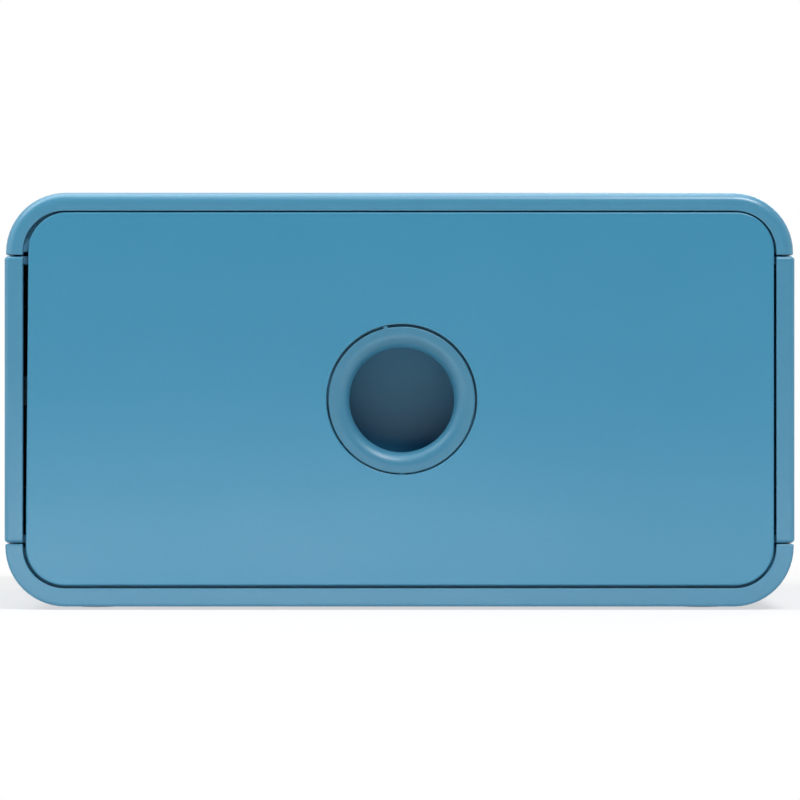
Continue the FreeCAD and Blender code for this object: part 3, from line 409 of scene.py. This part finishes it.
# faces that formed on the mould's core: deep enough below the casing's outline, its front and its back;
# depth below the outline = corner - |max(|p| - (half - corner), 0)|, for x and z
def makeCoreGroup(box, c):
    tree, start, end = makeGroup("coreSide", [], [("Mask", "Float")])
    low, high = box
    middle, half = (low + high) / 2, (high - low) / 2
    fromMiddle = vectorMath(tree, "SUBTRACT", start["Place"], (middle.x, 0.0, middle.z))
    spread = vectorMath(tree, "ABSOLUTE", fromMiddle)
    past = vectorMath(tree, "SUBTRACT", spread, (half.x - c["corner"], 1.0, half.z - c["corner"]))
    beyond = vectorMath(tree, "MAXIMUM", past, (0.0, 0.0, 0.0))
    reach = vectorMath(tree, "LENGTH", beyond, output="Value")
    inward = mathNode(tree, "SUBTRACT", c["corner"] - c["skin"], reach)
    along = axisOf(tree, start["Place"], "Y")
    fromFront = mathNode(tree, "SUBTRACT", along, low.y)
    fromBack = mathNode(tree, "SUBTRACT", high.y - c["backSkin"], along)
    depth = mathNode(tree, "MINIMUM", inward, mathNode(tree, "MINIMUM", fromFront, fromBack))
    feed(tree, end["Mask"], smoothSpan(tree, depth, c["blend"]))
    return tree


skinGroup = makeSkinGroup(mouldSkin)
toneGroup = makeToneGroup(toneDrift)
edgeGroup = makeEdgeGroup(edgeWearAndHighlight)
dustGroup = makeDustGroup(dustFall)
rubGroup = makeRubGroup(rubbing)
coreGroup = makeCoreGroup(cadBox, coreSide)


# material, its tree, the inputs of its shader, and the place on the piece
def startMaterial(name):
    material = bpy.data.materials.new(name)
    material.use_nodes = True
    tree = material.node_tree
    place = addNode(tree, "TexCoord").outputs["Object"]
    return material, tree, tree.nodes["Principled BSDF"].inputs, place


# heights are in metres, so the bump's own distance is 1
def raiseSurface(tree, shader, height, normal):
    bump = addNode(tree, "Bump")
    bump.inputs["Distance"].default_value = 1.0
    feed(tree, bump.inputs["Height"], height)
    feed(tree, bump.inputs["Normal"], normal)
    feed(tree, shader["Normal"], bump.outputs[0])


# colours are linear; sizes and heights in metres
casingPlastic = {
    "colour": (0.072, 0.280, 0.438), "roughness": 0.30, "roughDrift": 0.05,
    "grain": 0.00042, "grainHeight": 4e-6, "sinkHeight": 1.5e-5,
    "drift": 0.05, "speckle": 0.05,
    "wearAndHighlight": 0.35, "wearWidth": 0.0004, "pale": 0.62, "paleShare": 0.25,      # worn and painted-highlight edges are a quarter pale
    "rub": 0.0, "rubRough": 0.22,
    "dust": 0.05, "dustColour": (0.50, 0.49, 0.47), "dustRough": 0.8,
    "coreRough": 0.38,                                                       # added on the inner faces
}
# the drawer's paler edges are twice the casing's: a painted highlight along the drawer front's edges, besides
# wear
drawerPlastic = {
    **casingPlastic, "colour": (0.051, 0.281, 0.457), "grainHeight": 3e-6, "dust": 0.08, "wearAndHighlight": 0.7,
}
pullPlastic = {
    **casingPlastic, "colour": (0.052, 0.230, 0.365), "roughness": 0.39, "grain": 0.00034,
    "grainHeight": 2.5e-6, "coreRough": 0.0,
}
# the cup lining the finger recess is the pull's plastic with a little less red and green: painted shade for
# the recess
shadedCupPlastic = {**pullPlastic, "colour": (0.034, 0.226, 0.372), "roughness": 0.50}
runnerPlastic = {
    **casingPlastic, "colour": (0.060, 0.190, 0.290), "roughness": 0.26, "grainHeight": 1.5e-6,
    "rub": 0.5, "dust": 0.03, "coreRough": 0.0,
}


# clear tone, paler edges (wear and partly a painted highlight) and grey dust over one another;
# grain, sink marks and rounded edges in the normal
def makePlastic(name, p):
    material, tree, shader, place = startMaterial(name)
    skin = useGroup(tree, skinGroup, Place=place, Grain=p["grain"], GrainHeight=p["grainHeight"],
                    SinkHeight=p["sinkHeight"])
    tone = useGroup(tree, toneGroup, Place=place, Colour=(*p["colour"], 1), Drift=p["drift"],
                    Speckle=p["speckle"])
    edge = useGroup(tree, edgeGroup, Place=place, Width=p["wearWidth"], Amount=p["wearAndHighlight"])
    dust = useGroup(tree, dustGroup, Place=place, Amount=p["dust"])["Mask"]
    paler = tuple((1 - p["paleShare"]) * c + p["paleShare"] * p["pale"] for c in p["colour"])
    colour = mixColour(tree, edge["Mask"], tone["Colour"], (*paler, 1))
    smoothest = p["roughness"] - p["roughDrift"]
    rough = mathNode(tree, "MULTIPLY_ADD", skin["Sheen"], p["roughDrift"] * 2, smoothest)
    if p["coreRough"]:
        core = useGroup(tree, coreGroup, Place=place)["Mask"]
        rough = mathNode(tree, "MULTIPLY_ADD", core, p["coreRough"], rough)
    if p["rub"]:
        rub = useGroup(tree, rubGroup, Place=place, Amount=p["rub"])["Mask"]
        colour = mixColour(tree, rub, colour, (*paler, 1))
        rough = mathNode(tree, "MULTIPLY_ADD", rub, p["rubRough"], rough)
    feed(tree, shader["Base Color"], mixColour(tree, dust, colour, (*p["dustColour"], 1)))
    feed(tree, shader["Roughness"], mathNode(tree, "MULTIPLY_ADD", dust, p["dustRough"], rough))
    raiseSurface(tree, shader, skin["Height"], edge["Normal"])
    return material


footRubber = {
    "colour": (0.030, 0.030, 0.032), "roughness": 0.62, "pebbleRough": 0.25,
    "pebble": 0.0007, "pebbleHeight": 2.5e-5,
    "drift": 0.4, "driftSize": 0.01, "speckle": 0.3,
    "wearAndHighlight": 0.5, "wearWidth": 0.0004, "wornColour": (0.11, 0.11, 0.11),
    "dust": 0.16, "dustSize": 0.004, "dustColour": (0.30, 0.29, 0.27),
}


# pebbled rubber: height = pebble height * distance to the nearest cell centre, turned over
def makeRubber(name, p):
    material, tree, shader, place = startMaterial(name)
    pebbles = addNode(tree, "TexVoronoi", feature="SMOOTH_F1")
    tree.links.new(place, pebbles.inputs["Vector"])
    pebbles.inputs["Scale"].default_value = 1 / p["pebble"]
    distance = pebbles.outputs["Distance"]
    tone = useGroup(tree, toneGroup, Place=place, Colour=(*p["colour"], 1), Drift=p["drift"],
                    Size=p["driftSize"], Speckle=p["speckle"])
    edge = useGroup(tree, edgeGroup, Place=place, Width=p["wearWidth"], Amount=p["wearAndHighlight"])
    dust = mathNode(tree, "MULTIPLY", noiseNode(tree, place, p["dustSize"], detail=4.0), p["dust"])
    colour = mixColour(tree, edge["Mask"], tone["Colour"], (*p["wornColour"], 1))
    rough = mathNode(tree, "MULTIPLY_ADD", distance, p["pebbleRough"], p["roughness"])
    feed(tree, shader["Base Color"], mixColour(tree, dust, colour, (*p["dustColour"], 1)))
    feed(tree, shader["Roughness"], rough)
    raiseSurface(tree, shader, mathNode(tree, "MULTIPLY", distance, -p["pebbleHeight"]), edge["Normal"])
    return material


screwSteel = {
    "colour": (0.62, 0.62, 0.60), "roughness": 0.30, "roughDrift": 0.12, "cloud": 0.0012,
    "line": 260.0, "lineHeight": 4e-6,
    "drift": 0.25, "driftSize": 0.004, "speckle": 0.10,
    "wearAndHighlight": 0.8, "wearWidth": 0.00015, "wearPatch": 0.003, "bright": (0.78, 0.78, 0.76),
}


# turned marks run round each screw: height = line height * noise of v alone, v the way along the outline
def makeSteel(name, p):
    material, tree, shader, place = startMaterial(name)
    marks = addNode(tree, "TexNoise", noise_dimensions="1D")
    outline = addNode(tree, "UVMap", uv_map="outline").outputs[0]
    tree.links.new(axisOf(tree, outline, "Y"), marks.inputs["W"])
    marks.inputs["Scale"].default_value = p["line"]
    marks.inputs["Detail"].default_value = 3.0
    tone = useGroup(tree, toneGroup, Place=place, Colour=(*p["colour"], 1), Drift=p["drift"],
                    Size=p["driftSize"], Speckle=p["speckle"])
    edge = useGroup(tree, edgeGroup, Place=place, Width=p["wearWidth"], Patch=p["wearPatch"],
                    Amount=p["wearAndHighlight"])
    cloud = noiseNode(tree, place, p["cloud"], detail=3.0)
    smoothest = p["roughness"] - p["roughDrift"]
    rough = mathNode(tree, "MULTIPLY_ADD", cloud, p["roughDrift"] * 2, smoothest)
    feed(tree, shader["Base Color"], mixColour(tree, edge["Mask"], tone["Colour"], (*p["bright"], 1)))
    feed(tree, shader["Roughness"], rough)
    shader["Metallic"].default_value = 1.0
    height = mathNode(tree, "MULTIPLY", marks.outputs["Fac"], p["lineHeight"])
    raiseSurface(tree, shader, height, edge["Normal"])
    return material


casingBlue = makePlastic("casingBlue", casingPlastic)
drawerBlue = makePlastic("drawerBlue", drawerPlastic)
pullBlue = makePlastic("pullBlue", pullPlastic)
cupBlue = makePlastic("cupBlue", shadedCupPlastic)
runnerBlue = makePlastic("runnerBlue", runnerPlastic)
rubber = makeRubber("footRubber", footRubber)
steel = makeSteel("zincSteel", screwSteel)

finishes = {
    "drawer_tray": drawerBlue, "drawer_front": drawerBlue, "finger_ring": pullBlue, "finger_cup": cupBlue,
    "left_runner": runnerBlue, "right_runner": runnerBlue,
}


# screws are steel and feet are rubber; a node that finishes doesn't name is of the casing's blue
def finishOf(name):
    if name.endswith("screws"):
        return steel
    if name.endswith("foot"):
        return rubber
    return finishes.get(name, casingBlue)


for name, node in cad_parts.items():
    for slot in node.material_slots:
        slot.material = finishOf(name)
print("materials ready")

# screws: sizes as in the solids, in a frame with z = 0 under the head; a sunk head's top is there
longScrew = {"shank": 0.00145, "head": 0.0030, "rise": 0.0020, "length": 0.0090}
shortScrew = {**longScrew, "length": 0.0065}
smallScrew = {"shank": 0.00115, "head": 0.0022, "rise": 0.0015, "length": 0.0050}
sunkScrew = {"shank": 0.0012, "head": 0.0023, "rise": 0.0, "length": 0.0056}

# how every screw is cut; shares are of the size that the note names
screwCut = {
    "directions": 48, "pole": 1e-6,                                # round the screw, and radius at both ends
    "pitch": 0.0011, "depth": 0.18, "perTurn": 8, "neck": 0.0002,  # thread; depth is a share of the shank
    "arm": 0.6,                                                    # cross: its reach, a share of the head
    "slotHalf": 0.0004, "slotDepth": 0.0010, "slotEdge": 0.00006,
    "slotMiddle": 1.15,                                            # share of its depth
    "slotWall": ((0.5, 1.0), (0.86, 0.92), (0.97, 0.12)),          # shares of its reach and of its depth
    "bend": 0.6, "bendRows": 8, "rim": 0.00008,                    # round head; bend is a share of the rise
    "flat": 0.97, "flatRim": 0.00005,                              # sunk head; flat is a share of the head
    "tipRadii": (0.82, 0.6), "tipDown": 0.25,                      # shares of the shank
    "merge": 2e-6, "sharpAngle": 35,
    "vPerMetre": 100,                                              # the UV map's v along the outline
}


# outline of the cross, as a distance from the middle in each direction:
# far end of the nearest arm, or the inner corner where the two arms meet
def crossReach(angle, arm, half):
    turn = (angle + math.pi / 4) % (math.pi / 2) - math.pi / 4    # from the nearest arm's own line
    return np.minimum(arm / np.cos(turn), half / np.maximum(np.abs(np.sin(turn)), 1e-9))


# even directions round the screw, with those of the arms' corners and of the corners between the arms
def screwAngles(arm, c):
    quarters = np.arange(4) * math.pi / 2
    aside = math.atan2(c["slotHalf"], arm)
    even = np.linspace(0, 2 * math.pi, c["directions"], endpoint=False)
    every = np.concatenate([even, quarters - aside, quarters + aside, quarters + math.pi / 4])
    return np.unique(np.round(every % (2 * math.pi), 6))


# rows of (r, z) from the cross's edge down the outside of a head, and the z where the shank starts;
# round head: r = head - bend + bend * sin(t), z = rise - bend + bend * cos(t)
def headRows(s, c, mouth):
    whole = np.ones_like(mouth)
    if s["rise"] == 0.0:
        shankTop = s["shank"] - s["head"]
        return [(whole * (s["head"] * c["flat"]), 0.0), (whole * s["head"], -c["flatRim"]),
                (whole * s["shank"], shankTop)], shankTop
    bend = c["bend"] * s["rise"]
    rows = [(np.maximum(mouth, s["head"] - bend + bend * math.sin(t)), s["rise"] - bend + bend * math.cos(t))
            for t in np.linspace(0, math.pi / 2, c["bendRows"])]
    rows += [(whole * s["head"], c["rim"]), (whole * (s["head"] - c["rim"]), 0.0), (whole * s["shank"], 0.0)]
    return rows, 0.0


# r and z over a grid (row, angle): cross floor, its walls, the head, the threaded shank and the tip;
# on the shank r = shank * (1 - depth * (1 - |2 * frac(z / pitch - angle / 2 pi) - 1|) ** 2)
def screwGrid(s, c):
    arm, top, low = s["head"] * c["arm"], s["rise"], s["shank"] - s["length"]
    angle = screwAngles(arm, c)
    whole = np.ones_like(angle)
    cross = crossReach(angle, arm, c["slotHalf"])
    mouth = cross + c["slotEdge"]
    rows = [(whole * c["pole"], top - c["slotMiddle"] * c["slotDepth"])]
    rows += [(cross * share, top - c["slotDepth"] * depth) for share, depth in c["slotWall"]]
    rows.append((mouth, top))
    outside, shankTop = headRows(s, c, mouth)
    rows += outside
    levels = int((shankTop - low) / c["pitch"] * c["perTurn"])
    for z in np.linspace(shankTop - c["neck"], low, levels):
        saw = np.abs(2 * ((z / c["pitch"] - angle / (2 * math.pi)) % 1.0) - 1)
        rows.append((s["shank"] * (1 - c["depth"] * (1 - saw) ** 2), z))
    wide, narrow = c["tipRadii"]
    rows += [(whole * (s["shank"] * wide), low - c["tipDown"] * s["shank"]),
             (whole * (s["shank"] * narrow), -s["length"]), (whole * c["pole"], -s["length"])]
    r = np.array([row[0] for row in rows])
    z = np.array([np.broadcast_to(row[1], angle.shape) for row in rows])
    return r, z, angle


# middle of each of four screws' seats: across the screw a head's radius inside the node's box,
# and along it the plane under the head
def seats(node, s, headWay):
    low, high = (np.array(corner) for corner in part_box(node))
    along = int(np.argmax(np.abs(headWay)))
    first, second = [axis for axis in range(3) if axis != along]
    spots = []
    for a in (low[first] + s["head"], high[first] - s["head"]):
        for b in (low[second] + s["head"], high[second] - s["head"]):
            spot = np.zeros(3)
            spot[first], spot[second] = a, b
            spot[along] = high[along] - s["rise"] if headWay[along] > 0 else low[along] + s["rise"]
            spots.append((spot, headWay))
    return spots


# the runners' screws face each other across the drawer, flush with the runners' inner faces
def runnerSeats(node, s):
    low, high = (np.array(corner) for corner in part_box(node))
    face = high[0] - s["length"]
    level = (low[2] + high[2]) / 2
    ends = (low[1] + s["head"], high[1] - s["head"])
    return [(np.array((side * face, y, level)), (-side, 0, 0)) for side in (-1, 1) for y in ends]


# corners of each cell of the grid as point numbers, with u round the screw and v the way along its outline
def screwCells(r, z, vPerMetre):
    rows, count = r.shape
    i, j = np.meshgrid(np.arange(rows - 1), np.arange(count), indexing="ij")
    nextJ = (j + 1) % count
    quads = np.stack([i * count + j, (i + 1) * count + j, (i + 1) * count + nextJ, i * count + nextJ], -1)
    way = np.concatenate([[0.0], np.cumsum(np.hypot(np.diff(r.mean(1)), np.diff(z.mean(1))))])
    u = np.stack([j, j, j + 1, j + 1], -1) / count
    v = way[np.stack([i, i + 1, i + 1, i], -1)] * vPerMetre
    return quads.reshape(-1, 4), np.stack([u, v], -1).reshape(-1, 2)


# merges doubled points, turns the faces outwards and writes the result back
def closeMesh(mesh, merge):
    work = bmesh.new()
    work.from_mesh(mesh)
    bmesh.ops.remove_doubles(work, verts=work.verts, dist=merge)
    bmesh.ops.recalc_face_normals(work, faces=work.faces)
    work.to_mesh(mesh)
    work.free()


# x = r cos(angle), y = r sin(angle), z, carried to each spot with its head pointing along headWay
def makeScrews(node, body, s, spots):
    c = screwCut
    r, z, angle = screwGrid(s, c)
    local = np.stack([r * np.cos(angle), r * np.sin(angle), z], -1).reshape(-1, 3)
    local[:len(angle)] = local[:len(angle)].mean(0)      # each pole is one point
    local[-len(angle):] = local[-len(angle):].mean(0)
    points = []
    for spot, headWay in spots:
        turn = np.array(Vector((0, 0, 1)).rotation_difference(Vector(headWay)).to_matrix())
        points.append(local @ turn.T + spot)
    quads, uv = screwCells(r, z, c["vPerMetre"])
    faces = np.concatenate([quads + k * len(local) for k in range(len(spots))])
    mesh = bpy.data.meshes.new(node + "_turned")
    mesh.from_pydata(np.concatenate(points), [], faces)
    layer = mesh.uv_layers.new(name="outline")
    layer.data.foreach_set("uv", np.tile(uv, (len(spots), 1)).astype(np.float32).ravel())
    closeMesh(mesh, c["merge"])
    mesh.shade_smooth()
    mesh.set_sharp_from_angle(angle=math.radians(c["sharpAngle"]))
    mesh.materials.append(steel)
    piece = bpy.data.objects.new(node + "_turned", mesh)
    bpy.context.scene.collection.objects.link(piece)
    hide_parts(node)
    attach(piece, body)


back, up, down = (0, 1, 0), (0, 0, 1), (0, 0, -1)
makeScrews("upper_casing_screws", "casing", longScrew, seats("upper_casing_screws", longScrew, down))
makeScrews("lower_casing_screws", "casing", longScrew, seats("lower_casing_screws", longScrew, up))
makeScrews("back_panel_screws", "casing", longScrew, seats("back_panel_screws", longScrew, back))
makeScrews("runner_screws", "casing", sunkScrew, runnerSeats("runner_screws", sunkScrew))
makeScrews("drawer_front_screws", "drawer", shortScrew, seats("drawer_front_screws", shortScrew, back))
makeScrews("finger_cup_screws", "drawer", smallScrew, seats("finger_cup_screws", smallScrew, back))
print("screws turned")
